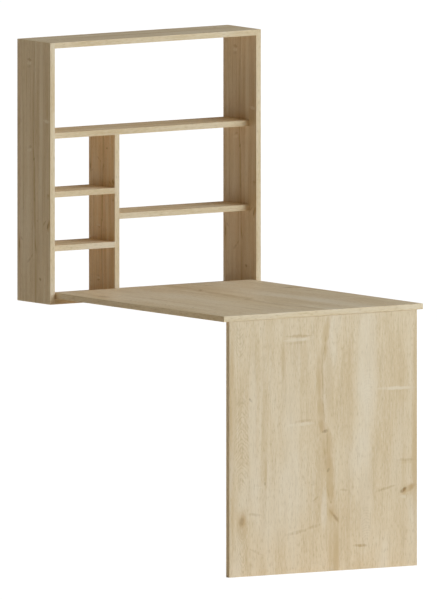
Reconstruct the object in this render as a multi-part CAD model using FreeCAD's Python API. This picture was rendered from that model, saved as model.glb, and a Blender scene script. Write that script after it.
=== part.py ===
"""Wall desk: an open wall cabinet with a fold-up desktop that stands on a fold-under leg panel.

Millimetres, +Z up. X runs from the cabinet's left to its right, the desktop reaches out towards -Y and
the wall is at +Y. The origin is on the floor, in the middle of the object's width and depth.
"""
import FreeCAD, Part
import os

V = FreeCAD.Vector

# Boards: melamine-faced chipboard with a thin band glued on each edge that shows
board = 16.0
band = 0.8
band_round = 0.5

# Wall cabinet, with the heights of its shelves given from its underside to theirs
cabinet_width = 714.0
cabinet_height = 734.0
cabinet_depth = 162.0
divider_left = 242.5
lower_small_shelf_height = 145.0
right_shelf_height = 224.0
upper_small_shelf_height = 296.0
long_shelf_height = 461.0

# The recess in front of the shelves holds the folded desktop and leg panel, with a little to spare
recess_spare = 2.5
fold_clearance = 0.5

# Desktop and leg panel
desktop_height = 734.0
desktop_projection = 828.0
desktop_side_gap = 4.0
leg_side_inset = 19.0
leg_setback = 1.5

# Cam housing, cam bolt and dowel
cam_radius = 7.4
cam_height = 12.2
cam_distance = 24.0
cam_clearance = 0.1
cam_inset = 30.0
cam_cross_length = 8.0
cam_cross_width = 1.6
cam_cross_depth = 2.0
bolt_thread_radius = 2.5
bolt_thread_length = 10.5
bolt_sleeve_radius = 3.8
bolt_sleeve_length = 14.0
bolt_neck_radius = 2.0
bolt_head_radius = 3.4
bolt_head_length = 2.6
bolt_clearance = 0.2
dowel_radius = 4.0
dowel_length = 30.0
dowel_in_face = 10.5
dowel_chamfer = 1.0
dowel_groove = 0.3
dowel_groove_count = 10
fit_clearance = 0.05

# Butt hinge, the same six times
hinge_length = 60.0
hinge_leaf = 1.4
hinge_margin = 1.0
axis_offset = 2.7
knuckle_gap = 0.3
knuckle_count = 5
pin_radius = 1.2
hinge_end_inset = 75.0
hinge_screw_spacing = 40.0

# Countersunk screws
hinge_screw_length = 13.0
hinge_screw_radius = 1.5
hinge_screw_head_radius = 2.8
hanger_screw_length = 20.0
hanger_screw_radius = 1.75
hanger_screw_head_radius = 3.3
screw_tip_length = 3.0
recess_width = 0.8
recess_depth = 0.9

# Keyhole hanger plate let into a side panel's rear edge
hanger_length = 54.0
hanger_plate = 2.0
hanger_side_margin = 1.5
hanger_corner = 2.0
hanger_inset = 40.0
hanger_screw_spacing = 42.0
keyhole_radius = 4.5
keyhole_slot_radius = 2.25
keyhole_rise = 12.0
keyhole_drop = 6.0
pocket_depth = 10.0
pocket_margin = 1.0

# One overrun serves all cuts, and coordinates closer than the match are the same
overrun = 1.0
match = 1e-6

# Heights above the floor
z_desk_top = desktop_height
z_desk_under = z_desk_top - board
z_cabinet = z_desk_under - board
z_cabinet_top = z_cabinet + cabinet_height

# Depths, from the middle of the whole object
whole_depth = desktop_projection + cabinet_depth
y_wall = whole_depth / 2
y_cabinet = y_wall - cabinet_depth
y_shelves = y_cabinet + 2 * board + recess_spare
y_desk_front = -whole_depth / 2
y_desk_rear = y_shelves - board - fold_clearance
y_leg_front = y_desk_front + leg_setback
y_leg_rear = y_leg_front + board

# Widths, from the middle
x_outer = cabinet_width / 2
x_inner = x_outer - board
x_desk = x_inner - desktop_side_gap
x_leg = x_desk - leg_side_inset
x_divider = divider_left - x_outer

# Hinge axes
desk_axis = (y_desk_rear + axis_offset, z_desk_under + axis_offset)
leg_axis = (y_leg_rear + axis_offset, z_desk_under - axis_offset)
knuckle_radius = axis_offset - knuckle_gap
leaf_reach = board - axis_offset - hinge_margin

X_AXIS = V(1, 0, 0)
Y_AXIS = V(0, 1, 0)
Z_AXIS = V(0, 0, 1)


def block(low, high):
    """A box between two corners."""
    low = V(*low)
    size = V(*high) - low
    return Part.makeBox(size.x, size.y, size.z, low)


def rod(start, direction, radius, length):
    return Part.makeCylinder(radius, length, start, direction)


def joined(solids):
    """Solids that touch or overlap, as one solid."""
    whole = solids[0].fuse(solids[1:])
    return whole.removeSplitter()


def placed(shape, point, x_way, z_way):
    """The shape moved from its own frame to a point, with its X and Z turned to the two ways."""
    moved = shape.copy()
    turn = FreeCAD.Rotation(x_way, V(0, 0, 0), z_way, "XZY")
    moved.Placement = FreeCAD.Placement(point, turn).multiply(moved.Placement)
    return moved


def evenly(first, last, count):
    """Places from first to last, both included, with equal steps."""
    step = (last - first) / (count - 1)
    return [first + step * i for i in range(count)]


def cut_all(shape, cutters):
    return shape.cut(cutters) if cutters else shape


# Boards and their edge bands

def rounded_strip(low, high, axis, side, thick_axis):
    """A band with its two long outer arrises rounded."""
    strip = block(low, high)
    outer = high[axis] if side > 0 else low[axis]
    arrises = []
    for edge in strip.Edges:
        ends = [vertex.Point for vertex in edge.Vertexes]
        is_outer = all(abs(point[axis] - outer) < match for point in ends)
        is_long = abs(ends[0][thick_axis] - ends[1][thick_axis]) < match
        if is_outer and is_long:
            arrises.append(edge)
    return strip.makeFillet(band_round, arrises)


def banded_board(low, high, banded_edges):
    """A board's core and its bands. The first band named runs full length, the next ones butt on it."""
    low = list(low)
    high = list(high)
    spans = [high[i] - low[i] for i in range(3)]
    thick_axis = spans.index(min(spans))
    strips = []
    for axis, side in banded_edges:
        strip_low = list(low)
        strip_high = list(high)
        if side > 0:
            high[axis] -= band
            strip_low[axis] = high[axis]
        else:
            low[axis] += band
            strip_high[axis] = low[axis]
        strips.append(rounded_strip(strip_low, strip_high, axis, side, thick_axis))
    return block(low, high), strips


FRONT = (1, -1)
REAR = (1, 1)
LEFT = (0, -1)
RIGHT = (0, 1)
UP = (2, 1)
DOWN = (2, -1)


def cabinet_boards():
    """Name, low corner, high corner and banded edges of each board of the wall cabinet."""
    z_long = z_cabinet + long_shelf_height
    side_bands = [FRONT, UP, DOWN]
    boards = {
        "left_side": ((-x_outer, y_cabinet, z_cabinet), (-x_inner, y_wall, z_cabinet_top), side_bands),
        "right_side": ((x_inner, y_cabinet, z_cabinet), (x_outer, y_wall, z_cabinet_top), side_bands),
        "divider": ((x_divider, y_shelves, z_cabinet + board), (x_divider + board, y_wall, z_long), [FRONT]),
    }
    levels = {
        "bottom_board": (-x_inner, x_inner, y_cabinet, 0),
        "top_board": (-x_inner, x_inner, y_cabinet, cabinet_height - board),
        "long_shelf": (-x_inner, x_inner, y_shelves, long_shelf_height),
        "lower_small_shelf": (-x_inner, x_divider, y_shelves, lower_small_shelf_height),
        "upper_small_shelf": (-x_inner, x_divider, y_shelves, upper_small_shelf_height),
        "right_shelf": (x_divider + board, x_inner, y_shelves, right_shelf_height),
    }
    for name, (x_left, x_right, y_front, height) in levels.items():
        z_low = z_cabinet + height
        boards[name] = ((x_left, y_front, z_low), (x_right, y_wall, z_low + board), [FRONT])
    return boards


def desk_boards():
    all_round = [FRONT, REAR, LEFT, RIGHT]
    leg_bands = [LEFT, RIGHT, UP, DOWN]
    return {
        "desktop": ((-x_desk, y_desk_front, z_desk_under), (x_desk, y_desk_rear, z_desk_top), all_round),
        "leg_panel": ((-x_leg, y_leg_front, 0), (x_leg, y_leg_rear, z_desk_under), leg_bands),
    }


# Knock-down fittings. Their own frame has its origin where the held board's end meets the carrying face,
# at half the board's thickness, X into the held board and Z towards the face that the cam goes in from.

def cam_housing():
    """A drum with a cross recess in its face, a slot for the bolt's neck and a chamber for its head."""
    top = board / 2
    base = V(cam_distance, 0, top - cam_height)
    drum = rod(base, Z_AXIS, cam_radius, cam_height)
    neck = bolt_neck_radius + bolt_clearance
    slot = block((cam_distance - cam_radius - overrun, -neck, -neck), (cam_distance, neck, neck))
    chamber_reach = bolt_head_length + bolt_clearance
    chamber_half = bolt_head_radius + bolt_clearance
    chamber = block((cam_distance - chamber_reach, -chamber_half, -chamber_half),
                    (cam_distance + chamber_reach, chamber_half, chamber_half))
    long_half = cam_cross_length / 2
    thin_half = cam_cross_width / 2
    floor = top - cam_cross_depth
    lid = top + overrun
    cross_bars = [
        block((cam_distance - long_half, -thin_half, floor), (cam_distance + long_half, thin_half, lid)),
        block((cam_distance - thin_half, -long_half, floor), (cam_distance + thin_half, long_half, lid)),
    ]
    return drum.cut([slot, chamber] + cross_bars)


def cam_bolt():
    """Thread in the carrying panel, sleeve in the held board, then neck and head inside the cam."""
    head_start = cam_distance - bolt_head_length / 2
    stretches = [
        (-bolt_thread_length, 0, bolt_thread_radius),
        (0, bolt_sleeve_length, bolt_sleeve_radius),
        (bolt_sleeve_length, head_start, bolt_neck_radius),
        (head_start, head_start + bolt_head_length, bolt_head_radius),
    ]
    return joined([rod(V(start, 0, 0), X_AXIS, radius, end - start) for start, end, radius in stretches])


def dowel():
    """A grooved beech dowel with chamfered ends."""
    start = -dowel_in_face
    body_start = start + dowel_chamfer
    body_end = start + dowel_length - dowel_chamfer
    tip_radius = dowel_radius - dowel_chamfer
    parts = [
        Part.makeCone(tip_radius, dowel_radius, dowel_chamfer, V(start, 0, 0), X_AXIS),
        rod(V(body_start, 0, 0), X_AXIS, dowel_radius, body_end - body_start),
        Part.makeCone(dowel_radius, tip_radius, dowel_chamfer, V(body_end, 0, 0), X_AXIS),
    ]
    whole = joined(parts)
    grooves = []
    for i in range(dowel_groove_count):
        groove = rod(V(start - overrun, dowel_radius, 0), X_AXIS, dowel_groove, dowel_length + 2 * overrun)
        groove.rotate(V(0, 0, 0), X_AXIS, 360 * i / dowel_groove_count)
        grooves.append(groove)
    return whole.cut(grooves)


def cam_cutters():
    """The drillings for one cam and its bolt, in both boards."""
    top = board / 2
    depth = cam_height + cam_clearance
    return [
        rod(V(cam_distance, 0, top - depth), Z_AXIS, cam_radius + cam_clearance, depth + overrun),
        rod(V(0, 0, 0), X_AXIS, bolt_sleeve_radius + bolt_clearance, cam_distance),
        rod(V(-bolt_thread_length - fit_clearance, 0, 0), X_AXIS, bolt_thread_radius + fit_clearance,
            bolt_thread_length + fit_clearance),
    ]


def dowel_cutters():
    start = -dowel_in_face - fit_clearance
    return [rod(V(start, 0, 0), X_AXIS, dowel_radius + fit_clearance, dowel_length + 2 * fit_clearance)]


def board_joints():
    """Each place where a board's end meets a face: both boards, the point, the ways and the dowel count."""
    joints = []
    boards = cabinet_boards()
    holders = {
        "top_board": ("left_side", "right_side", 2),
        "bottom_board": ("left_side", "right_side", 2),
        "long_shelf": ("left_side", "right_side", 1),
        "lower_small_shelf": ("left_side", "divider", 1),
        "upper_small_shelf": ("left_side", "divider", 1),
        "right_shelf": ("divider", "right_side", 1),
    }
    for name, (left_holder, right_holder, dowels) in holders.items():
        low, high, bands = boards[name]
        z_middle = low[2] + board / 2
        joints.append((name, left_holder, (low[0], low[1], z_middle), X_AXIS, -Z_AXIS, dowels))
        joints.append((name, right_holder, (high[0], low[1], z_middle), -X_AXIS, -Z_AXIS, dowels))
    low, high, bands = boards["divider"]
    x_middle = low[0] + board / 2
    joints.append(("divider", "bottom_board", (x_middle, low[1], low[2]), Z_AXIS, X_AXIS, 1))
    joints.append(("divider", "long_shelf", (x_middle, low[1], high[2]), -Z_AXIS, X_AXIS, 1))
    return joints


def fit_boards(cutters):
    """Places the fittings of every board joint and adds their drillings to each board's cutters."""
    cams = []
    bolts = []
    dowels = []
    for held, holder, (x, y_front, z), inward, open_way, dowel_count in board_joints():
        y_first = y_front + cam_inset
        y_last = y_wall - cam_inset
        places = evenly(y_first, y_last, dowel_count + 2)
        for i, y in enumerate(places):
            point = V(x, y, z)
            if i in (0, len(places) - 1):
                cams.append(placed(cam_housing(), point, inward, open_way))
                bolts.append(placed(cam_bolt(), point, inward, open_way))
                drillings = cam_cutters()
            else:
                dowels.append(placed(dowel(), point, inward, open_way))
                drillings = dowel_cutters()
            for drilling in drillings:
                tool = placed(drilling, point, inward, open_way)
                cutters[held].append(tool)
                cutters[holder].append(tool)
    return cams, bolts, dowels


# Screws. Their own frame has its origin at the head's flat face and Z along the shank.

def screw(radius, head_radius, head_height, length):
    shank_length = length - head_height - screw_tip_length
    parts = [
        Part.makeCone(head_radius, radius, head_height),
        rod(V(0, 0, head_height), Z_AXIS, radius, shank_length),
        Part.makeCone(radius, 0, screw_tip_length, V(0, 0, head_height + shank_length), Z_AXIS),
    ]
    whole = joined(parts)
    half = recess_width / 2
    bars = [
        block((-radius, -half, -overrun), (radius, half, recess_depth)),
        block((-half, -radius, -overrun), (half, radius, recess_depth)),
    ]
    return whole.cut(bars)


def screw_hole(radius, head_radius, head_height, length):
    """The countersink and the pilot hole of a screw."""
    wide = head_radius + fit_clearance
    narrow = radius + fit_clearance
    parts = [
        rod(V(0, 0, -overrun), Z_AXIS, wide, overrun),
        Part.makeCone(wide, narrow, head_height),
        rod(V(0, 0, head_height), Z_AXIS, narrow, length - head_height),
    ]
    return joined(parts)


def turned_screw(shape, point, way):
    """A screw or its hole with the head at a point and the shank along a way."""
    moved = shape.copy()
    moved.Placement = FreeCAD.Placement(point, FreeCAD.Rotation(Z_AXIS, way))
    return moved


# Butt hinges. One leaf lies level on the lower or upper board, the other stands on an edge or a face.

def leaf_stretch(x_low, x_high, reach_low, reach_high, upright, up, axis):
    """A flat stretch of leaf between two distances from the hinge axis."""
    y_axis, z_axis = axis
    inner = axis_offset - hinge_leaf
    if upright:
        heights = sorted((z_axis + up * reach_low, z_axis + up * reach_high))
        return block((x_low, y_axis - axis_offset, heights[0]), (x_high, y_axis - inner, heights[1]))
    heights = sorted((z_axis - up * axis_offset, z_axis - up * inner))
    return block((x_low, y_axis + reach_low, heights[0]), (x_high, y_axis + reach_high, heights[1]))


def hinge_leaf_shape(x_middle, axis, up, upright):
    """A leaf with every second knuckle rolled round the pin."""
    x_start = x_middle - hinge_length / 2
    x_end = x_start + hinge_length
    stretch = hinge_length / knuckle_count
    first = 1 if upright else 0
    parts = [leaf_stretch(x_start, x_end, axis_offset, leaf_reach, upright, up, axis)]
    for i in range(first, knuckle_count, 2):
        x_low = x_start + i * stretch + (knuckle_gap / 2 if i > 0 else 0)
        x_high = x_start + (i + 1) * stretch - (knuckle_gap / 2 if i < knuckle_count - 1 else 0)
        parts.append(rod(V(x_low, *axis), X_AXIS, knuckle_radius, x_high - x_low))
        parts.append(leaf_stretch(x_low, x_high, 0, axis_offset, upright, up, axis))
    bore_radius = pin_radius + fit_clearance
    bore = rod(V(x_start - overrun, *axis), X_AXIS, bore_radius, hinge_length + 2 * overrun)
    return joined(parts).cut(bore)


def hinge(x_middle, axis, up):
    """The two leaves, the pin and the screws of one hinge, with the holes for those screws."""
    y_axis, z_axis = axis
    sizes = (hinge_screw_radius, hinge_screw_head_radius, hinge_leaf, hinge_screw_length)
    inner = axis_offset - hinge_leaf
    screw_line = (axis_offset + leaf_reach) / 2
    pieces = {"level_screws": [], "upright_screws": [], "level_holes": [], "upright_holes": []}
    for x in evenly(x_middle - hinge_screw_spacing / 2, x_middle + hinge_screw_spacing / 2, 2):
        seats = {
            "level": (V(x, y_axis + screw_line, z_axis - up * inner), V(0, 0, -up)),
            "upright": (V(x, y_axis - inner, z_axis + up * screw_line), -Y_AXIS),
        }
        for kind, (point, way) in seats.items():
            pieces[kind + "_screws"].append(turned_screw(screw(*sizes), point, way))
            pieces[kind + "_holes"].append(turned_screw(screw_hole(*sizes), point, way))
    pieces["level_leaf"] = hinge_leaf_shape(x_middle, axis, up, False).cut(pieces["level_holes"])
    pieces["upright_leaf"] = hinge_leaf_shape(x_middle, axis, up, True).cut(pieces["upright_holes"])
    pieces["pin"] = rod(V(x_middle - hinge_length / 2, *axis), X_AXIS, pin_radius, hinge_length)
    return pieces


def hinge_row(name, axis, up, half_width):
    """Three hinges along one axis, the outer two a set distance in from the panel's ends."""
    reach = half_width - hinge_end_inset
    places = zip(("left", "middle", "right"), evenly(-reach, reach, 3))
    return {name + "_" + place: hinge(x, axis, up) for place, x in places}


# Keyhole hangers. Their own frame is the panel's rear edge: X across it, Z up, the wall at +Y.

def keyhole(depth_low, depth_high, entry_radius, slot_radius):
    """A round entry with a round-ended slot that rises from it."""
    depth = depth_high - depth_low
    top = keyhole_rise - keyhole_drop
    return joined([
        rod(V(0, depth_low, -keyhole_drop), Y_AXIS, entry_radius, depth),
        block((-slot_radius, depth_low, -keyhole_drop), (slot_radius, depth_high, top)),
        rod(V(0, depth_low, top), Y_AXIS, slot_radius, depth),
    ])


def hanger_plate_shape(growth):
    half_width = board / 2 - hanger_side_margin + growth
    half_length = hanger_length / 2 + growth
    plate = block((-half_width, -hanger_plate - growth, -half_length), (half_width, 0, half_length))
    corners = [edge for edge in plate.Edges if abs(edge.Vertexes[0].Y - edge.Vertexes[1].Y) > match]
    return plate.makeFillet(hanger_corner, corners)


def hangers(cutters):
    """Four plates with their screws, and the pockets for them in the side panels."""
    sizes = (hanger_screw_radius, hanger_screw_head_radius, hanger_plate, hanger_screw_length)
    head_room = keyhole_radius + pocket_margin
    plates = {}
    screws = []
    panels = {"left": ("left_side", -x_outer + board / 2), "right": ("right_side", x_outer - board / 2)}
    levels = {"upper": z_cabinet_top - hanger_inset, "lower": z_cabinet + hanger_inset}
    for level, z in levels.items():
        for side, (panel, x) in panels.items():
            place = V(x, y_wall, z)
            opening = keyhole(-hanger_plate - overrun, overrun, keyhole_radius, keyhole_slot_radius)
            plate = hanger_plate_shape(0).cut(opening)
            head_way = keyhole(-pocket_depth, overrun, head_room, head_room)
            pocket = [hanger_plate_shape(fit_clearance), head_way]
            for z_screw in evenly(-hanger_screw_spacing / 2, hanger_screw_spacing / 2, 2):
                hole = turned_screw(screw_hole(*sizes), V(0, 0, z_screw), -Y_AXIS)
                plate = plate.cut(hole)
                pocket.append(hole)
                seated = turned_screw(screw(*sizes), V(0, 0, z_screw), -Y_AXIS)
                seated.translate(place)
                screws.append(seated)
            plate.translate(place)
            plates[level + "_" + side + "_hanger"] = plate
            for cutter in pocket:
                cutter.translate(place)
                cutters[panel].append(cutter)
    return plates, screws


# Assembly

def grouped(solids):
    """Separate solids that share one node."""
    return Part.makeCompound(solids)


def add_hinges(nodes, cutters, name, row, level_board, upright_board):
    """Hinge pieces as nodes, and their screw holes in the boards and in those boards' bands."""
    level_screws = []
    upright_screws = []
    for place, pieces in row.items():
        nodes[place + "_" + level_board + "_leaf"] = pieces["level_leaf"]
        nodes[place + "_" + upright_board + "_leaf"] = pieces["upright_leaf"]
        nodes[place + "_pin"] = pieces["pin"]
        level_screws += pieces["level_screws"]
        upright_screws += pieces["upright_screws"]
        cutters[level_board] += pieces["level_holes"]
        cutters[upright_board] += pieces["upright_holes"]
    nodes[name + "_" + level_board + "_screws"] = grouped(level_screws)
    nodes[name + "_" + upright_board + "_screws"] = grouped(upright_screws)


def build():
    boards = {**cabinet_boards(), **desk_boards()}
    cutters = {name: [] for name in boards}
    nodes = {}
    cams, bolts, dowels = fit_boards(cutters)
    plates, hanger_screws = hangers(cutters)
    add_hinges(nodes, cutters, "desk_hinge", hinge_row("desk_hinge", desk_axis, 1, x_desk),
               "bottom_board", "desktop")
    add_hinges(nodes, cutters, "leg_hinge", hinge_row("leg_hinge", leg_axis, -1, x_leg),
               "desktop", "leg_panel")
    for name, (low, high, banded_edges) in boards.items():
        core, strips = banded_board(low, high, banded_edges)
        nodes[name] = cut_all(core, cutters[name])
        nodes[name + "_edging"] = grouped([cut_all(strip, cutters[name]) for strip in strips])
    nodes.update(plates)
    nodes["hanger_screws"] = grouped(hanger_screws)
    nodes["cam_housings"] = grouped(cams)
    nodes["cam_bolts"] = grouped(bolts)
    nodes["wooden_dowels"] = grouped(dowels)
    return nodes


def main():
    os.makedirs("parts", exist_ok=True)
    nodes = build()
    for name, shape in nodes.items():
        shape.exportStep("parts/" + name + ".step")
        box = shape.BoundBox
        print(f"{name}: {len(shape.Solids)} solids, valid {shape.isValid()}, "
              f"{box.XLength:.1f} x {box.YLength:.1f} x {box.ZLength:.1f}")
    print("desk hinge axis y, z:", desk_axis, "leg hinge axis y, z:", leg_axis)
    print(len(nodes), "nodes")


main()
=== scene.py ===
"""A wall desk: an open shelf unit on the wall, and a desktop that folds out of it onto a wide leg panel.

The boards, bands and fittings come from the frame at their real size, in metres. This file gives them
their finishes and sets up the floor, the light and the camera. The print of the oak decor is laid out
in millimetres, on a sheet whose first corner lies on a corner of each board.
"""

import math
from collections import namedtuple
from functools import partial

import bmesh
import bpy
from mathutils import Matrix, Vector


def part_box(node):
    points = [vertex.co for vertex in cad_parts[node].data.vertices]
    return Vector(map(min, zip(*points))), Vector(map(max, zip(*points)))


bl_info = {
    "name": "Wall desk",
    "version": (1, 0, 0),
    "blender": (4, 5, 0),
    "location": "3D View > Sidebar > Wall desk",
    "description": "Gives the parts of a fold-out wall desk their finishes and sets the studio up",
    "category": "Object",
}

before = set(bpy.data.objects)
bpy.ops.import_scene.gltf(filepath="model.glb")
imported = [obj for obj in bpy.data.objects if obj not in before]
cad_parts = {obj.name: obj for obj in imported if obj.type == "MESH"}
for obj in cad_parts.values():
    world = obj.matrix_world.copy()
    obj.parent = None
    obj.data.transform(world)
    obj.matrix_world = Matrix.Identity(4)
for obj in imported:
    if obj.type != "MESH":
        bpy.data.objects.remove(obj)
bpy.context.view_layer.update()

MM = 0.001
PER_MM = 1 / MM
X, Y, Z = range(3)
AXES = "XYZ"


# Colours

FULL_CHANNEL = 255
SRGB_KNEE, SRGB_SLOPE, SRGB_OFFSET, SRGB_POWER = 0.04045, 12.92, 0.055, 2.4


def linear(hex_colour):
    """Turns an sRGB colour such as #C9BA9C into the linear red, green, blue and alpha of the shaders."""
    channels = [int(hex_colour[i:i + 2], 16) / FULL_CHANNEL for i in (1, 3, 5)]
    return [c / SRGB_SLOPE if c <= SRGB_KNEE else ((c + SRGB_OFFSET) / (1 + SRGB_OFFSET)) ** SRGB_POWER
            for c in channels] + [1.0]


def colour_property(name, description, hex_colour):
    return bpy.props.FloatVectorProperty(
        name=name, description=description, subtype="COLOR", size=4, min=0, max=1,
        default=linear(hex_colour))


def share_property(name, description, default):
    return bpy.props.FloatProperty(
        name=name, description=description, subtype="FACTOR", min=0, max=1, default=default)


def strength_property(name, description, default):
    return bpy.props.FloatProperty(name=name, description=description, min=0, default=default)


def length_property(name, description, millimetres):
    return bpy.props.FloatProperty(
        name=name, description=description, unit="LENGTH", min=0, default=millimetres * MM)


def angle_property(name, description, degrees):
    return bpy.props.FloatProperty(
        name=name, description=description, unit="ROTATION", default=math.radians(degrees))


# What a user would change

class WALLDESK_PG_wood(bpy.types.PropertyGroup):
    """Oak decor on melamine-faced chipboard, and the same decor on the plastic edge bands"""

    body: colour_property("Wood", "Colour of most of the printed oak", "#E8CCA1")
    # Painted bounce light: the shelves and the divider get a warmer wood colour that stands in for the
    # warmer light bounced between the boards inside the cabinet
    inner: colour_property("Inner wood", "Colour of most of the shelves and the divider", "#EECA94")
    band: colour_property("Edge band", "Colour of most of the edge bands", "#E9CC9D")
    pale: colour_property("Pale wood", "Colour of the bleached bands and flecks", "#F1DCBB")
    tan: colour_property("Tan wood", "Colour of the warmer bands", "#D2B07D")
    rust: colour_property("Rust wood", "Colour of the wood round a knot", "#BC8B4C")
    pore: colour_property("Pores", "Colour of the fine lines along the grain", "#C5A575")
    line: colour_property("Dark lines", "Colour of the crack lines and flecks", "#A7792C")
    knot: colour_property("Knots", "Colour of the middle of a knot", "#855A1E")
    # Real pores are under half a millimetre wide, too fine to show, so they are drawn coarser
    pore_spacing: length_property("Pore spacing", "Distance between pores on the widest board", 3)
    pore_length: length_property("Pore length", "Length of a pore, along the grain", 17)
    line_spacing: length_property("Line spacing", "Distance between the fine lines there", 6)
    line_length: length_property("Line length", "Length of a fine line, along the grain", 85)
    streak_spacing: length_property("Streak spacing", "Width of the soft streaks there", 24)
    streak_length: length_property("Streak length", "Length of a soft streak, along the grain", 320)
    blotch_width: length_property("Blotch width", "Width of the broad light and dark areas there", 80)
    blotch_length: length_property("Blotch length", "Length of the broad light and dark areas", 330)
    ray_width: length_property("Ray width", "Size of the short flecks, across the grain", 16)
    ray_height: length_property("Ray height", "Size of the short flecks, along the grain", 5)
    roughness: share_property("Roughness", "Gloss of the melamine face: 0 is a mirror", 0.5)
    emboss: length_property("Emboss", "Depth of the pores pressed into the melamine", 0.06)
    chip_pale: colour_property("Pale chips", "Light chips on the raw edges", "#DEC59A")
    chip_dark: colour_property("Dark chips", "Dark chips and gaps on the raw edges", "#B29362")
    chip_size: length_property("Chip size", "Length of one wood chip on a raw edge", 4)
    beech: colour_property("Beech", "Colour of the dowels", "#CFAE82")


class WALLDESK_PG_metal(bpy.types.PropertyGroup):
    """Zinc and steel of the fittings"""

    zinc_plate: colour_property("Zinc plate", "Blue-white zinc on screws and hanger plates", "#D2D6D9")
    cast_zinc: colour_property("Cast zinc", "Bare die-cast zinc of the cam housings", "#B9BBBD")
    nickel: colour_property("Nickel plate", "Satin nickel on the hinge leaves and pins", "#DAD6CC")
    dull: colour_property("Dull film", "Oxide in hollows and on handled corners", "#9C9A96")
    # Real polishing lines are far finer than a tenth of a millimetre, so they are drawn coarser
    brush_spacing: length_property("Brush lines", "Distance between two polishing lines", 1.2)
    patch_size: length_property("Patch size", "Size of the dull patches", 8)
    roughness: share_property("Roughness", "Gloss of the plated steel: 0 is a mirror", 0.32)


class WALLDESK_PG_studio(bpy.types.PropertyGroup):
    """Floor, light and camera round the desk"""

    floor_size: length_property("Floor size", "Side of the square floor", 60000)
    floor_colour: colour_property("Floor", "Colour of the painted studio floor", "#FBEFDB")
    floor_glow: share_property("Floor glow", "How far the seen floor is burnt out to white", 0.9)
    ceiling_colour: colour_property("Ceiling colour", "Colour of the light from above", "#FFFDF9")
    ceiling_strength: strength_property("Ceiling strength", "Brightness of the light from above", 0.43)
    key_colour: colour_property("Key colour", "Colour of the lamps", "#CEE3FF")
    key_strength: strength_property(
        "Key strength", "Main lamp's light on the desk, in watts per square metre", 2.7)
    second_strength: strength_property(
        "Second strength", "Nearer lamp's light on the desk, in watts per square metre", 1.03)
    key_softness: angle_property("Key softness", "Width of the main lamp as the desk sees it", 55)
    camera_azimuth: angle_property("Camera azimuth", "How far left of the front the camera stands", 34.5)
    camera_elevation: angle_property("Camera elevation", "How far above the horizon it stands", 5.52)
    camera_distance: length_property("Camera distance", "From the camera to the desk", 12000)


# Nodes

SMOOTH = {"interpolation_type": "SMOOTHSTEP"}
COLOURS = {"data_type": "RGBA"}
VECTORS = {"data_type": "VECTOR"}


def add_node(tree, kind, *values, out=None, sockets=None, **settings):
    """Adds a node and gives back its first output, or the one named out. settings are the node's own
    properties. values go to its inputs from the top, and sockets to inputs by name: each is a plain
    value, or an output that feeds the input."""
    node = tree.nodes.new(kind if kind.startswith("NodeGroup") else "ShaderNode" + kind)
    for name, value in settings.items():
        setattr(node, name, value)
    pairs = list(zip((socket for socket in node.inputs if socket.enabled), values))
    pairs += [(node.inputs[name], value) for name, value in (sockets or {}).items()]
    for socket, value in pairs:
        if isinstance(value, bpy.types.NodeSocket):
            tree.links.new(value, socket)
        else:
            socket.default_value = value
    results = [socket for socket in node.outputs if socket.enabled and out in (None, socket.name)]
    return results[0] if results else None


def new_material(name):
    """An empty node material, and add_node for its tree."""
    material = bpy.data.materials.new(name)
    material.use_nodes = True
    material.node_tree.nodes.clear()
    return material, partial(add_node, material.node_tree)


def finish_shader(add, colour, roughness, height, depth, **uniform):
    """Joins colour, roughness and relief in one surface. uniform are the shader's plain values."""
    relief = add("Bump", sockets={"Height": height, "Distance": depth, "Strength": 1.0})
    shader = add("BsdfPrincipled", sockets={
        "Base Color": colour, "Roughness": roughness, "Normal": relief, **uniform})
    add("OutputMaterial", shader)


def tinted(add, colour, ink, value, none_at, full_at, most=1.0):
    """The colour with an ink over it: none where value is none_at, and most of it at full_at."""
    amount = add("MapRange", value, none_at, full_at, 0.0, most, **SMOOTH)
    return add("Mix", amount, colour, ink, **COLOURS)


# The printed oak: one print, stretched over each board, so that it is wide on the desktop and the leg
# panel and narrow on the others. It has its real size, in mm, on the leg panel

SHEET_WIDTH, SHEET_LENGTH = 636.0, 718.0

# Each ink, and the grain pattern that breaks its marks up: where the pattern is low, less ink shows
MARK_INKS = {"tan": "streaks", "pale": "streaks", "rust": "streaks", "line": "pores", "knot": "pores"}
BROKEN_BELOW, WHOLE_ABOVE = 0.38, 0.6
BROKEN_INK, WHOLE_INK = 0.55, 1.15

# A mark's ink is full where the squared distance from its middle is under this, and fades to its rim
MARK_CORE = 0.03
Mark = namedtuple("Mark", "ink across along width length turn strength")
Mark.__doc__ = "A mark on the print: ink, its middle and half sizes in mm, turn in degrees, strength."

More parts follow.
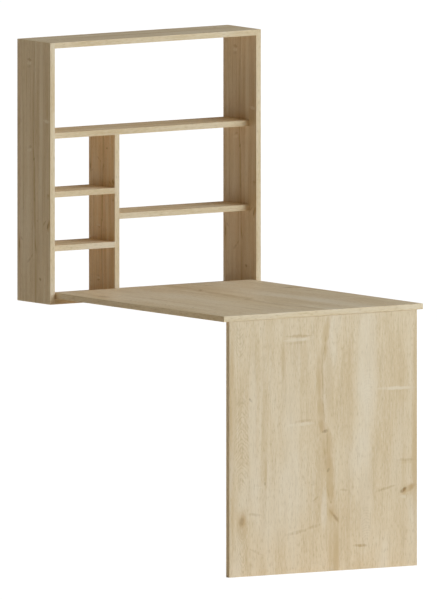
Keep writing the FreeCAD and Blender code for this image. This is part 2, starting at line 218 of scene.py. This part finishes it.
MARKS = (
    Mark("tan", 327, 52, 15, 66, 10, 0.66),
    Mark("tan", 317, 112, 18, 56, 10, 0.85),
    Mark("tan", 311, 182, 19, 84, 0, 0.85),
    Mark("tan", 314, 262, 18, 58, -6, 0.80),
    Mark("tan", 319, 314, 18, 42, -12, 0.75),
    Mark("tan", 330, 362, 21, 66, -3, 0.95),
    Mark("tan", 335, 420, 19, 62, -5, 0.90),
    Mark("tan", 340, 480, 16, 60, -8, 0.70),
    Mark("tan", 352, 560, 22, 36, -10, 0.65),
    Mark("tan", 338, 180, 22, 150, 0, 0.40),
    Mark("tan", 357, 665, 27, 112, 0, 0.80),
    Mark("tan", 180, 120, 12, 70, 0, 0.35),
    Mark("tan", 117, 330, 14, 380, 0, 0.38),
    Mark("tan", 121, 420, 8, 60, 0, 0.60),
    Mark("tan", 8, 330, 18, 330, 0, 0.65),
    Mark("tan", 630, 340, 16, 340, 0, 0.60),
    Mark("tan", 575, 380, 40, 330, 0, 0.25),
    Mark("tan", 405, 380, 16, 420, 0, 0.35),
    Mark("tan", 42, 575, 24, 60, 0, 0.50),
    Mark("tan", 598, 505, 52, 26, -12, 0.50),
    Mark("tan", 590, 424, 46, 10, 0, 0.50),
    Mark("pale", 468, 150, 44, 240, 0, 0.51),
    Mark("pale", 462, 470, 30, 260, 0, 0.35),
    Mark("pale", 208, 360, 34, 460, 0, 0.22),
    Mark("pale", 78, 300, 16, 300, 0, 0.35),
    Mark("pale", 170, 560, 60, 110, 0, 0.25),
    Mark("pale", 321, 545, 12, 80, 0, 0.42),
    Mark("pale", 230, 62, 56, 5.5, 0, 0.66),
    Mark("pale", 236, 301, 62, 6.5, -2, 0.60),
    Mark("pale", 560, 216, 84, 6, 1, 0.52),
    Mark("pale", 96, 470, 22, 4, 3, 0.50),
    Mark("pale", 590, 522, 14, 6, 0, 0.40),
    Mark("rust", 608, 500, 30, 12, -20, 0.44),
    Mark("rust", 44, 562, 15, 26, 8, 0.40),
    Mark("rust", 316, 310, 13, 24, -8, 0.28),
    Mark("rust", 318, 262, 7, 52, -5, 0.20),
    Mark("rust", 333, 405, 14, 34, -4, 0.20),
    Mark("rust", 357, 565, 20, 11, 45, 0.40),
    Mark("line", 234, 52, 58, 5, 1, 0.31),
    Mark("line", 224, 71, 50, 5, -2, 0.13),
    Mark("line", 254, 291, 38, 5.2, -3, 0.21),
    Mark("line", 536, 495, 38, 5, -12, 0.28),
    Mark("line", 596, 419, 40, 5, 2, 0.20),
    Mark("line", 285, 591, 32, 5.8, -12, 0.21),
    Mark("line", 226, 604, 46, 6.8, -9, 0.24),
    Mark("line", 290, 514, 14, 4.2, -28, 0.29),
    Mark("line", 388, 493, 18, 3.8, 4, 0.22),
    Mark("line", 444, 652, 30, 5.2, 2, 0.41),
    Mark("line", 86, 546, 30, 5.8, 8, 0.23),
    Mark("line", 92, 652, 36, 5, 22, 0.17),
    Mark("line", 354, 562, 16, 4.4, 48, 0.18),
    Mark("line", 181, 112, 4, 60, 0, 0.12),
    Mark("line", 326, 66, 4, 11, 8, 0.28),
    Mark("line", 321, 98, 3.4, 28, 12, 0.31),
    Mark("line", 315, 140, 3, 34, 5, 0.26),
    Mark("line", 318, 195, 3.4, 66, -1, 0.34),
    Mark("line", 320, 262, 3, 44, -4, 0.25),
    Mark("line", 330, 356, 3, 38, 0, 0.25),
    Mark("line", 324, 400, 2.6, 56, -6, 0.20),
    Mark("line", 336, 500, 2.8, 36, -16, 0.22),
    Mark("line", 351, 496, 2.8, 36, 10, 0.14),
    Mark("line", 345, 525, 3.4, 5, 0, 0.38),
    Mark("knot", 590, 504, 14.3, 7.7, -24, 0.62),
    Mark("knot", 42, 564, 9.9, 15.4, 10, 0.29),
    Mark("knot", 324, 325, 11, 6.6, -10, 0.49),
    Mark("knot", 335, 434, 5.5, 7.7, 20, 0.44),
    Mark("knot", 361, 569, 12.1, 7.7, 42, 0.33),
    Mark("knot", 120, 461, 4.4, 6.6, 0, 0.35),
    Mark("knot", 71, 224, 6.6, 5, 35, 0.43),
)

Arches = namedtuple("Arches", "across along width length turn steepness spacing strength")
Arches.__doc__ = """Nested arches along the grain: middle and half sizes in mm, turn in degrees, steepness
of their legs, spacing in mm, strength."""

ARCHES = (
    Arches(42, 335, 32, 165, 0, 1.5, 14, 0.36),
    Arches(44, 640, 24, 96, 0, -2.4, 15, 0.30),
    Arches(36, 62, 24, 56, 0, -1.7, 12, 0.26),
    Arches(462, 590, 18, 66, 0, 0.5, 8, 0.26),
    Arches(470, 210, 20, 90, 0, 0.4, 9, 0.20),
)

# The arches: where they are full, how round their tops are in mm, how wide the gaps between their lines
# are, and how far they stray, in spacings, over how many mm
ARCH_CORE = 0.25
ARCH_TOP = 5.0
ARCH_GAP = -0.3
ARCH_STRAY = 2.8
ARCH_STRAY_SIZE = 36.0

# How far the whole print wanders aside, and quivers along, in mm, and over what lengths
WANDER = 6.0
WANDER_SIZE = (70.0, 240.0)
QUIVER = 3.0
QUIVER_SIZE = (14.0, 14.0)

# Two patterns whose seeds are this far apart have nothing in common
SEED_STEP = 20.0

Tint = namedtuple("Tint", "pattern ink none_at full_at most")
Tint.__doc__ = "How a grain pattern, soft random values round a half, turns into an amount of ink."

TINTS = (
    Tint("blotches", "tan", 0.48, 0.68, 0.45),
    Tint("blotches", "pale", 0.50, 0.30, 0.50),
    Tint("streaks", "tan", 0.50, 0.70, 0.28),
    Tint("streaks", "pale", 0.50, 0.30, 0.28),
    Tint("rays", "pale", 0.62, 0.78, 0.40),
    Tint("rays", "pore", 0.38, 0.24, 0.25),
    Tint("lines", "pore", 0.50, 0.72, 0.26),
    Tint("lines", "pale", 0.48, 0.30, 0.22),
    Tint("pores", "pore", 0.50, 0.74, 0.55),
    Tint("pores", "pale", 0.48, 0.28, 0.38),
)
PATTERN_DETAIL = 2.0

# A surface belongs to a board's face where it points this far along the board's thickness
RAW_EDGE_LIMIT = 0.6

Board = namedtuple("Board", "across along thick flip_across flip_along strength ground")
Board.__doc__ = """How the print lies on a board: its axes, on which of them it starts at the far end, how
much stronger it looks where it is squeezed, and the wood colour under its grain."""

WIDE, SQUEEZED = 1.0, 1.35
BOARDS = {
    "leg_panel": Board(X, Z, Y, False, True, WIDE, "body"),
    "desktop": Board(X, Y, Z, False, False, WIDE, "body"),
    "left_side": Board(Y, Z, X, True, True, SQUEEZED, "body"),
    "right_side": Board(Y, Z, X, True, True, SQUEEZED, "body"),
    "top_board": Board(Y, X, Z, False, False, SQUEEZED, "body"),
    "bottom_board": Board(Y, X, Z, True, True, SQUEEZED, "body"),
    # The divider and the shelves below take the warmer wood colour that holds painted bounce light
    "divider": Board(Y, Z, X, True, False, SQUEEZED, "inner"),
    "long_shelf": Board(Y, X, Z, False, True, SQUEEZED, "inner"),
    "upper_small_shelf": Board(Y, X, Z, False, False, SQUEEZED, "inner"),
    "lower_small_shelf": Board(Y, X, Z, True, True, SQUEEZED, "inner"),
    "right_shelf": Board(Y, X, Z, False, False, SQUEEZED, "inner"),
}


def sheet_place(add, name, board):
    """Where a point of the board lies on the print, in mm across and along the grain."""
    place = add("TexCoord", out="Object")
    low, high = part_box(name)
    runs = []
    for axis, size, flip in ((board.across, SHEET_WIDTH, board.flip_across),
                             (board.along, SHEET_LENGTH, board.flip_along)):
        start, end = (high[axis], low[axis]) if flip else (low[axis], high[axis])
        part = add("SeparateXYZ", place, out=AXES[axis])
        runs.append(add("MapRange", part, start, end, 0.0, size, clamp=False))
    return add("CombineXYZ", *runs)


def soft_noise(add, place, across, along, seed, detail=PATTERN_DETAIL):
    """Soft random values round a half, with bumps of that size across and along the grain."""
    steps = add("VectorMath", place, (1 / across, 1 / along, 1.0), operation="MULTIPLY")
    return add("TexNoise", steps, seed, 1.0, detail, noise_dimensions="4D")


def wandering(add, place):
    """The same place, pushed aside by a slow wave and along by a quick one: no line is straight."""
    wave = soft_noise(add, place, *WANDER_SIZE, 0.0, detail=1.0)
    quiver = soft_noise(add, place, *QUIVER_SIZE, SEED_STEP, detail=1.0)
    aside = add("MapRange", wave, 0.0, 1.0, -WANDER, WANDER)
    along = add("MapRange", quiver, 0.0, 1.0, -QUIVER, QUIVER)
    push = add("CombineXYZ", aside, along)
    return add("VectorMath", place, push, operation="ADD")


def reach_of(add, across, along, mark):
    """How far a place is from the middle of a mark, squared: 0 there and 1 on the mark's rim. All steps
    are single numbers, because a shader can't hold many vectors at once."""
    aside = add("Math", across, 1 / mark.width, -mark.across / mark.width, operation="MULTIPLY_ADD")
    below = add("Math", along, 1 / mark.length, -mark.along / mark.length, operation="MULTIPLY_ADD")
    slope = math.tan(math.radians(mark.turn))
    if slope and mark.width > mark.length:
        below = add("Math", aside, -slope * mark.width / mark.length, below, operation="MULTIPLY_ADD")
    elif slope:
        aside = add("Math", below, slope * mark.length / mark.width, aside, operation="MULTIPLY_ADD")
    below = add("Math", below, below, operation="MULTIPLY")
    return add("Math", aside, aside, below, operation="MULTIPLY_ADD")


def inked(add, across, along, ink, strength):
    """The marks of one ink, the strongest of them at each place."""
    total = 0.0
    for mark in MARKS:
        if mark.ink == ink:
            reach = reach_of(add, across, along, mark)
            amount = add("MapRange", reach, 1.0, MARK_CORE, 0.0, strength * mark.strength, **SMOOTH)
            total = add("Math", amount, total, operation="MAXIMUM")
    return total


def broken_up(add, amount, pattern):
    """An amount of ink, weaker where the grain pattern is low."""
    share = add("MapRange", pattern, BROKEN_BELOW, WHOLE_ABOVE, BROKEN_INK, WHOLE_INK, **SMOOTH)
    return add("Math", amount, share, operation="MULTIPLY", use_clamp=True)


def arches(add, place, across, along):
    """Nested arches, as where a board is sawn close to the skin of the trunk. Their spacing varies."""
    stray = soft_noise(add, place, ARCH_STRAY_SIZE, ARCH_STRAY_SIZE, 2 * SEED_STEP)
    total = 0.0
    for arch in ARCHES:
        reach = reach_of(add, across, along, arch)
        shown = add("MapRange", reach, 1.0, ARCH_CORE, 0.0, arch.strength, **SMOOTH)
        aside = add("Math", across, arch.across, operation="SUBTRACT")
        spread = add("VectorMath", add("CombineXYZ", aside, ARCH_TOP), operation="LENGTH", out="Value")
        depth = add("Math", spread, -arch.steepness, along, operation="MULTIPLY_ADD")
        depth = add("Math", stray, ARCH_STRAY * arch.spacing, depth, operation="MULTIPLY_ADD")
        turns = add("Math", depth, 2 * math.pi / arch.spacing, operation="MULTIPLY")
        wave = add("MapRange", add("Math", turns, operation="SINE"), ARCH_GAP, 1.0, 0.0, 1.0, **SMOOTH)
        total = add("Math", wave, shown, total, operation="MULTIPLY_ADD")
    return total


def grain(add, place, wood, seed):
    """The patterns that run all over the print."""
    sizes = {
        "pores": (wood.pore_spacing, wood.pore_length),
        "lines": (wood.line_spacing, wood.line_length),
        "streaks": (wood.streak_spacing, wood.streak_length),
        "blotches": (wood.blotch_width, wood.blotch_length),
        "rays": (wood.ray_width, wood.ray_height),
    }
    patterns = {}
    for name, (across, along) in sizes.items():
        seed += SEED_STEP
        patterns[name] = soft_noise(add, place, across * PER_MM, along * PER_MM, seed)
    return patterns


def grain_colour(add, patterns, wood, colour, strength=1.0):
    """The wood with its grain, before any mark. colour is what most of it has."""
    for tint in TINTS:
        ink = getattr(wood, tint.ink)
        most = min(1.0, strength * tint.most)
        colour = tinted(add, colour, ink, patterns[tint.pattern], tint.none_at, tint.full_at, most)
    return colour


# Shares of a chip's length, and where the distance from a chip's middle counts as a gap
CHIP_LENGTH, CHIP_WIDTH, CHIP_THICKNESS = 1.0, 0.6, 0.4
GAP_FROM, GAP_FULL = 0.45, 0.75


def chips(add, board, wood):
    """The look of a sawn chipboard edge: flat chips pressed together, pale and dark, with small gaps."""
    sizes = {board.along: CHIP_LENGTH, board.across: CHIP_WIDTH, board.thick: CHIP_THICKNESS}
    steps = [1 / (sizes[axis] * wood.chip_size) for axis in (X, Y, Z)]
    spread = add("VectorMath", add("TexCoord", out="Object"), steps, operation="MULTIPLY")
    chip = add("TexVoronoi", spread, 1.0, out="Color")
    shade = add("SeparateXYZ", chip)
    colour = tinted(add, wood.chip_pale, wood.chip_dark, shade, 0.0, 1.0)
    return tinted(add, colour, wood.chip_dark, add("TexVoronoi", spread, 1.0), GAP_FROM, GAP_FULL), shade


def oak_print(wood, ground, strength):
    """The whole print as one group of nodes, which every board with this ground and strength shares."""
    name = f"oak_print_{ground}_{strength:.2f}"
    group = bpy.data.node_groups.get(name)
    if group:
        return group
    group = bpy.data.node_groups.new(name, "ShaderNodeTree")
    group.interface.new_socket("Place", in_out="INPUT", socket_type="NodeSocketVector")
    group.interface.new_socket("Color", in_out="OUTPUT", socket_type="NodeSocketColor")
    group.interface.new_socket("Pores", in_out="OUTPUT", socket_type="NodeSocketFloat")
    add = partial(add_node, group)
    place = wandering(add, add("NodeGroupInput"))
    across, along = add("SeparateXYZ", place, out="X"), add("SeparateXYZ", place, out="Y")
    patterns = grain(add, place, wood, 0.0)
    colour = grain_colour(add, patterns, wood, getattr(wood, ground), strength)
    rings = broken_up(add, arches(add, place, across, along), patterns["pores"])
    colour = add("Mix", rings, colour, wood.pore, **COLOURS)
    for ink, pattern in MARK_INKS.items():
        amount = broken_up(add, inked(add, across, along, ink, strength), patterns[pattern])
        colour = add("Mix", amount, colour, getattr(wood, ink), **COLOURS)
    add("NodeGroupOutput", colour, patterns["pores"])
    return group


# Where the pore pattern starts to sink into the face, is deepest, and is dullest
PORE_RIM, PORE_DEEP, PORE_DULL = 0.5, 0.72, 0.75
PORE_DULLNESS = 0.2
CUT_EDGE_ROUGHNESS = 0.85


def melamine_oak(name, wood):
    """Oak decor paper under melamine on chipboard, pressed against a textured plate: a matt face whose
    fine pores are slightly sunk. Where the board is cut and not banded, the chips of the core show."""
    board = BOARDS[name]
    material, add = new_material("melamine_oak_" + name)
    print_group = oak_print(wood, board.ground, board.strength)
    face = add("Group", sheet_place(add, name, board), node_tree=print_group)
    pores = face.node.outputs["Pores"]
    edge, chip_shade = chips(add, board, wood)
    towards = add("SeparateXYZ", add("TexCoord", out="Normal"), out=AXES[board.thick])
    towards = add("Math", towards, operation="ABSOLUTE")
    is_face = add("Math", towards, RAW_EDGE_LIMIT, operation="GREATER_THAN")
    colour = add("Mix", is_face, edge, face, **COLOURS)
    relief = add("MapRange", pores, PORE_DEEP, PORE_RIM, 0.0, 1.0, **SMOOTH)
    height = add("Mix", is_face, chip_shade, relief)
    dullest = wood.roughness + PORE_DULLNESS
    polish = add("MapRange", pores, PORE_RIM, PORE_DULL, wood.roughness, dullest, **SMOOTH)
    finish_shader(add, colour, add("Mix", is_face, CUT_EDGE_ROUGHNESS, polish), height, wood.emboss)
    return material


# The edge bands. Their rounded arris points along no axis, which is how it is found

WORN_FROM, WORN_FULL = 0.92, 0.75
WORN_SHARE = 0.5
BAND_POLISH = 0.9
BAND_EMBOSS = 0.5


def edge_band(name, wood):
    """Plastic edge band, 0.8 mm thick, printed with the same oak and brushed: its grain runs along the
    strip, and its rounded arris is rubbed slightly paler and smoother."""
    thick = BOARDS[name].thick
    first, second = [axis for axis in (X, Y, Z) if axis != thick]
    material, add = new_material("abs_edge_band_" + name)
    facing = add("VectorMath", add("TexCoord", out="Normal"), operation="ABSOLUTE")
    in_mm = add("VectorMath", add("TexCoord", out="Object"), (PER_MM,) * 3, operation="MULTIPLY")
    across, *along = [add("SeparateXYZ", in_mm, out=AXES[axis]) for axis in (thick, first, second)]
    runs = [add("CombineXYZ", across, way) for way in along]
    flat = [add("SeparateXYZ", facing, out=letter) for letter in AXES]
    is_end = add("Math", flat[first], RAW_EDGE_LIMIT, operation="GREATER_THAN")
    place = add("Mix", is_end, *runs, **VECTORS)
    # The length of the board's name is the seed, so that most bands have a grain of their own
    patterns = grain(add, place, wood, len(name))
    colour = grain_colour(add, patterns, wood, wood.band)
    most = add("Math", add("Math", flat[X], flat[Y], operation="MAXIMUM"), flat[Z], operation="MAXIMUM")
    colour = tinted(add, colour, wood.pale, most, WORN_FROM, WORN_FULL, WORN_SHARE)
    pores, smoothest = patterns["pores"], BAND_POLISH * wood.roughness
    polish = add("MapRange", pores, PORE_RIM, PORE_DULL, smoothest, wood.roughness, **SMOOTH)
    relief = add("MapRange", pores, PORE_DEEP, PORE_RIM, 0.0, 1.0, **SMOOTH)
    finish_shader(add, colour, polish, relief, BAND_EMBOSS * wood.emboss)
    return material


# Metal and beech. Lines and patches are soft random values round a half, and relief is in metres

ALONG_PART = 0.04
LINES_CLEAN, LINES_DULL, LINES_SHARE = 0.35, 0.7, 0.25
PATCHES_CLEAN, PATCHES_DULL, PATCHES_SHARE = 0.48, 0.7, 0.4
LINE_LOW, LINE_HIGH = 0.3, 0.7
SMOOTHER, ROUGHER = 0.8, 1.35
BARREL_RELIEF, STAMPED_RELIEF, LATHE_RELIEF, MOULD_RELIEF = 0.01 * MM, 0.015 * MM, 0.02 * MM, 0.03 * MM
LATHE_POLISH, MOULD_POLISH = 0.9, 1.5
FIBRE_WIDTH, FIBRE_LENGTH = 0.6 * MM, 8 * MM
FIBRE_PALE, FIBRE_DARK, FIBRE_SHARE = 0.5, 0.72, 0.7
FIBRE_SMOOTH, FIBRE_ROUGH = 0.55, 0.75
FIBRE_RELIEF = 0.05 * MM


def plated_metal(title, colour, metal, along, roughness, relief):
    """Plated steel or cast metal: fine polishing lines along the part, and a dull film in patches."""
    material, add = new_material(title)
    place = add("TexCoord", out="Object")
    steps = [(ALONG_PART if axis == along else 1.0) / metal.brush_spacing for axis in (X, Y, Z)]
    lines = add("TexNoise", add("VectorMath", place, steps, operation="MULTIPLY"), 1.0)
    patches = add("TexNoise", place, 1 / metal.patch_size)
    shade = tinted(add, colour, metal.dull, lines, LINES_CLEAN, LINES_DULL, LINES_SHARE)
    shade = tinted(add, shade, metal.dull, patches, PATCHES_CLEAN, PATCHES_DULL, PATCHES_SHARE)
    low, high = SMOOTHER * roughness, ROUGHER * roughness
    gloss = add("MapRange", lines, LINE_LOW, LINE_HIGH, low, high, **SMOOTH)
    finish_shader(add, shade, gloss, lines, relief, Metallic=1.0)
    return material


def zinc_plated_steel(metal):
    """Steel with blue-white zinc plate, barrel plated: bright, very slightly mottled."""
    return plated_metal("zinc_plated_steel", metal.zinc_plate, metal, Y, metal.roughness, BARREL_RELIEF)


def turned_steel(metal):
    """Turned and zinc-plated steel: fine rings round the bolt from the lathe tool."""
    roughness = LATHE_POLISH * metal.roughness
    return plated_metal("turned_zinc_plated_steel", metal.zinc_plate, metal, Z, roughness, LATHE_RELIEF)


def satin_nickel(metal):
    """Stamped steel leaf with satin nickel plate: polishing lines along the leaf."""
    return plated_metal("satin_nickel_steel", metal.nickel, metal, X, metal.roughness, STAMPED_RELIEF)


def cast_zinc(metal):
    """Die-cast zinc as it leaves the mould: grey, matt and slightly grainy."""
    roughness = MOULD_POLISH * metal.roughness
    return plated_metal("die_cast_zinc", metal.cast_zinc, metal, None, roughness, MOULD_RELIEF)


def turned_beech(wood):
    """Beech dowel, turned and grooved: pale, dense wood with short dark flecks along it."""
    material, add = new_material("turned_beech")
    steps = (1 / FIBRE_LENGTH, 1 / FIBRE_WIDTH, 1 / FIBRE_WIDTH)
    place = add("VectorMath", add("TexCoord", out="Object"), steps, operation="MULTIPLY")
    fibres = add("TexNoise", place, 1.0)
    colour = tinted(add, wood.beech, wood.rust, fibres, FIBRE_PALE, FIBRE_DARK, FIBRE_SHARE)
    polish = add("MapRange", fibres, LINE_LOW, LINE_HIGH, FIBRE_SMOOTH, FIBRE_ROUGH)
    finish_shader(add, colour, polish, fibres, FIBRE_RELIEF)
    return material


def paint(names, material):
    """Gives CAD pieces one finish."""
    for name in names:
        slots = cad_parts[name].material_slots
        for slot in slots:
            slot.material = material
        if not slots:
            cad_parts[name].data.materials.append(material)


def named(*endings):
    """The CAD pieces whose names end in one of these words."""
    found = sorted(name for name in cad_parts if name.endswith(endings))
    if not found:
        raise RuntimeError(f"the frame has no piece whose name ends in {endings}")
    return found


# Operators

def finish_boards(context, names):
    """Gives each named board its face and its bands their strips."""
    wood = context.scene.walldesk_wood
    for name in names:
        paint([name], melamine_oak(name, wood))
        paint([name + "_edging"], edge_band(name, wood))


class WALLDESK_OT_side_panels(bpy.types.Operator):
    """Finish the two side panels and their bands"""

    bl_idname = "walldesk.side_panels"
    bl_label = "Side panels"

    def execute(self, context):
        finish_boards(context, ("left_side", "right_side"))
        return {"FINISHED"}


class WALLDESK_OT_top_and_bottom(bpy.types.Operator):
    """Finish the cabinet's top and bottom boards and their bands"""

    bl_idname = "walldesk.top_and_bottom"
    bl_label = "Top and bottom boards"

    def execute(self, context):
        finish_boards(context, ("top_board", "bottom_board"))
        return {"FINISHED"}


class WALLDESK_OT_shelves(bpy.types.Operator):
    """Finish the four shelves, the divider and their bands"""

    bl_idname = "walldesk.shelves"
    bl_label = "Shelves and divider"

    def execute(self, context):
        finish_boards(context, (
            "long_shelf", "divider", "upper_small_shelf", "lower_small_shelf", "right_shelf"))
        return {"FINISHED"}


class WALLDESK_OT_desktop(bpy.types.Operator):
    """Finish the desktop and its bands"""

    bl_idname = "walldesk.desktop"
    bl_label = "Desktop"

    def execute(self, context):
        finish_boards(context, ("desktop",))
        return {"FINISHED"}


class WALLDESK_OT_leg_panel(bpy.types.Operator):
    """Finish the leg panel and its bands"""

    bl_idname = "walldesk.leg_panel"
    bl_label = "Leg panel"

    def execute(self, context):
        finish_boards(context, ("leg_panel",))
        return {"FINISHED"}


class WALLDESK_OT_hinges(bpy.types.Operator):
    """Finish the hinge leaves and pins"""

    bl_idname = "walldesk.hinges"
    bl_label = "Hinges"

    def execute(self, context):
        paint(named("_leaf", "_pin"), satin_nickel(context.scene.walldesk_metal))
        return {"FINISHED"}


class WALLDESK_OT_screws_and_hangers(bpy.types.Operator):
    """Finish the screws and the keyhole hanger plates"""

    bl_idname = "walldesk.screws_and_hangers"
    bl_label = "Screws and hangers"

    def execute(self, context):
        paint(named("_screws", "_hanger"), zinc_plated_steel(context.scene.walldesk_metal))
        return {"FINISHED"}


class WALLDESK_OT_cam_fittings(bpy.types.Operator):
    """Finish the cam housings, the cam bolts and the dowels"""

    bl_idname = "walldesk.cam_fittings"
    bl_label = "Cam fittings and dowels"

    def execute(self, context):
        metal = context.scene.walldesk_metal
        paint(named("cam_housings"), cast_zinc(metal))
        paint(named("cam_bolts"), turned_steel(metal))
        paint(named("wooden_dowels"), turned_beech(context.scene.walldesk_wood))
        return {"FINISHED"}


# The studio

# The photograph's frame and scale, and where it shows the left side panel's lower front corner
FRAME_WIDTH_PX, FRAME_HEIGHT_PX = 437, 600
PX_PER_METRE = 358.1
CORNER_PX = (50.04, 304.54)

# The right side panel's shadow on the shelves' front edges gives the main lamp's direction
KEY_AZIMUTH, KEY_ELEVATION = math.radians(45), math.radians(21)
SECOND_LAMP_PLACE = (1.6, -2.6, 2.2)
SECOND_LAMP_TARGET = (0.0, 0.0, 0.9)
SECOND_LAMP_WIDTH = 2.0

# The ceiling's light starts and is full at these heights on a unit sphere round the desk
CEILING_EDGE, CEILING_FULL = 0.3, 0.8
WHITE = (1.0, 1.0, 1.0, 1.0)
BURNT_OUT = 1.1
MOTTLE_PER_METRE = 2.0
MOTTLE_NONE, MOTTLE_FULL, MOTTLE_SHARE = 0.3, 0.7, 0.1
FLOOR_ROUGHNESS = 0.6
CLIP_IN_DISTANCES = 10


def studio_floor(studio):
    """The pale floor: a square of painted boarding that is seen burnt out, nearly white."""
    mesh = bpy.data.meshes.new("studio_floor")
    flat = bmesh.new()
    bmesh.ops.create_grid(flat, x_segments=1, y_segments=1, size=studio.floor_size / 2)
    flat.to_mesh(mesh)
    flat.free()
    floor = bpy.data.objects.new("studio_floor", mesh)
    bpy.context.scene.collection.objects.link(floor)
    material, add = new_material("painted_studio_floor")
    mottle = add("TexNoise", add("TexCoord", out="Object"), MOTTLE_PER_METRE)
    colour = tinted(add, studio.floor_colour, WHITE, mottle, MOTTLE_NONE, MOTTLE_FULL, MOTTLE_SHARE)
    seen = add("Math", add("LightPath", out="Is Camera Ray"), studio.floor_glow, operation="MULTIPLY")
    painted = add("BsdfDiffuse", colour, FLOOR_ROUGHNESS)
    add("OutputMaterial", add("MixShader", seen, painted, add("Emission", WHITE, BURNT_OUT)))
    mesh.materials.append(material)


def add_lamp(scene, name, kind, direction, strength, colour):
    """A lamp that shines from that direction onto the desk. It has a polarising filter, so that the
    boards show no glare from it."""
    lamp = bpy.data.lights.new(name, kind)
    lamp.energy = strength
    lamp.color = colour[:3]
    holder = bpy.data.objects.new(name, lamp)
    holder.rotation_mode = "QUATERNION"
    holder.rotation_quaternion = Vector(direction).to_track_quat("Z", "Y")
    holder.visible_glossy = False
    scene.collection.objects.link(holder)
    return holder


def studio_light(scene, studio):
    """A bright ceiling over a white floor, a broad far lamp at the right, and a nearer one in front."""
    world = bpy.data.worlds.new("studio")
    world.use_nodes = True
    world.node_tree.nodes.clear()
    add = partial(add_node, world.node_tree)
    height = add("SeparateXYZ", add("TexCoord", out="Generated"), out="Z")
    most = studio.ceiling_strength
    brightness = add("MapRange", height, CEILING_EDGE, CEILING_FULL, 0.0, most, **SMOOTH)
    fill = add("Background", studio.ceiling_colour, brightness)
    seen = add("LightPath", out="Is Camera Ray")
    add("OutputWorld", add("MixShader", seen, fill, add("Background", WHITE, 1.0)))
    scene.world = world
    level = math.cos(KEY_ELEVATION)
    direction = (math.sin(KEY_AZIMUTH) * level, -math.cos(KEY_AZIMUTH) * level, math.sin(KEY_ELEVATION))
    key = add_lamp(scene, "key_lamp", "SUN", direction, studio.key_strength, studio.key_colour)
    key.data.angle = studio.key_softness
    way = Vector(SECOND_LAMP_PLACE) - Vector(SECOND_LAMP_TARGET)
    watts = studio.second_strength * math.pi * way.length_squared
    second = add_lamp(scene, "second_lamp", "AREA", way, watts, studio.key_colour)
    second.data.shape = "DISK"
    second.data.size = SECOND_LAMP_WIDTH
    second.location = SECOND_LAMP_PLACE


def studio_camera(scene, studio):
    """A camera without perspective: edges that are parallel on the desk are parallel in the picture."""
    azimuth, elevation = studio.camera_azimuth, studio.camera_elevation
    right = Vector((math.cos(azimuth), -math.sin(azimuth), 0))
    back = Vector((-math.sin(azimuth) * math.cos(elevation), -math.cos(azimuth) * math.cos(elevation),
                   math.sin(elevation)))
    up = back.cross(right)
    low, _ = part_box("left_side")
    across = (FRAME_WIDTH_PX / 2 - CORNER_PX[0]) / PX_PER_METRE
    above = (CORNER_PX[1] - FRAME_HEIGHT_PX / 2) / PX_PER_METRE
    middle = low + across * right + above * up
    camera = bpy.data.cameras.new("camera")
    camera.type = "ORTHO"
    camera.ortho_scale = FRAME_HEIGHT_PX / PX_PER_METRE
    camera.clip_end = CLIP_IN_DISTANCES * studio.camera_distance
    holder = bpy.data.objects.new("camera", camera)
    scene.collection.objects.link(holder)
    holder.matrix_world = Matrix.Translation(middle + studio.camera_distance * back) @ Matrix(
        (right, up, back)).transposed().to_4x4()
    scene.camera = holder


class WALLDESK_OT_studio(bpy.types.Operator):
    """Set up the floor, the light and the camera"""

    bl_idname = "walldesk.studio"
    bl_label = "Studio"

    def execute(self, context):
        scene, studio = context.scene, context.scene.walldesk_studio
        scene.view_settings.view_transform = "Standard"
        studio_floor(studio)
        studio_light(scene, studio)
        studio_camera(scene, studio)
        return {"FINISHED"}


OPERATORS = (
    WALLDESK_OT_studio,
    WALLDESK_OT_side_panels,
    WALLDESK_OT_top_and_bottom,
    WALLDESK_OT_shelves,
    WALLDESK_OT_desktop,
    WALLDESK_OT_leg_panel,
    WALLDESK_OT_hinges,
    WALLDESK_OT_screws_and_hangers,
    WALLDESK_OT_cam_fittings,
)


class WALLDESK_PT_sidebar(bpy.types.Panel):
    """Lists the steps and the values that they use"""

    bl_idname = "WALLDESK_PT_sidebar"
    bl_label = "Wall desk"
    bl_space_type = "VIEW_3D"
    bl_region_type = "UI"
    bl_category = "Wall desk"

    def draw(self, context):
        for operator in OPERATORS:
            self.layout.operator(operator.bl_idname)
        for group in GROUPS:
            values = getattr(context.scene, group)
            box = self.layout.box()
            for name in values.__annotations__:
                box.prop(values, name)


GROUPS = {
    "walldesk_wood": WALLDESK_PG_wood,
    "walldesk_metal": WALLDESK_PG_metal,
    "walldesk_studio": WALLDESK_PG_studio,
}
CLASSES = (*GROUPS.values(), *OPERATORS, WALLDESK_PT_sidebar)


def register():
    for each in CLASSES:
        bpy.utils.register_class(each)
    for name, group in GROUPS.items():
        setattr(bpy.types.Scene, name, bpy.props.PointerProperty(type=group))


def unregister():
    for name in GROUPS:
        delattr(bpy.types.Scene, name)
    for each in reversed(CLASSES):
        bpy.utils.unregister_class(each)


def main():
    register()
    for operator in OPERATORS:
        _, step = operator.bl_idname.split(".")
        getattr(bpy.ops.walldesk, step)()


if __name__ == "__main__":
    main()
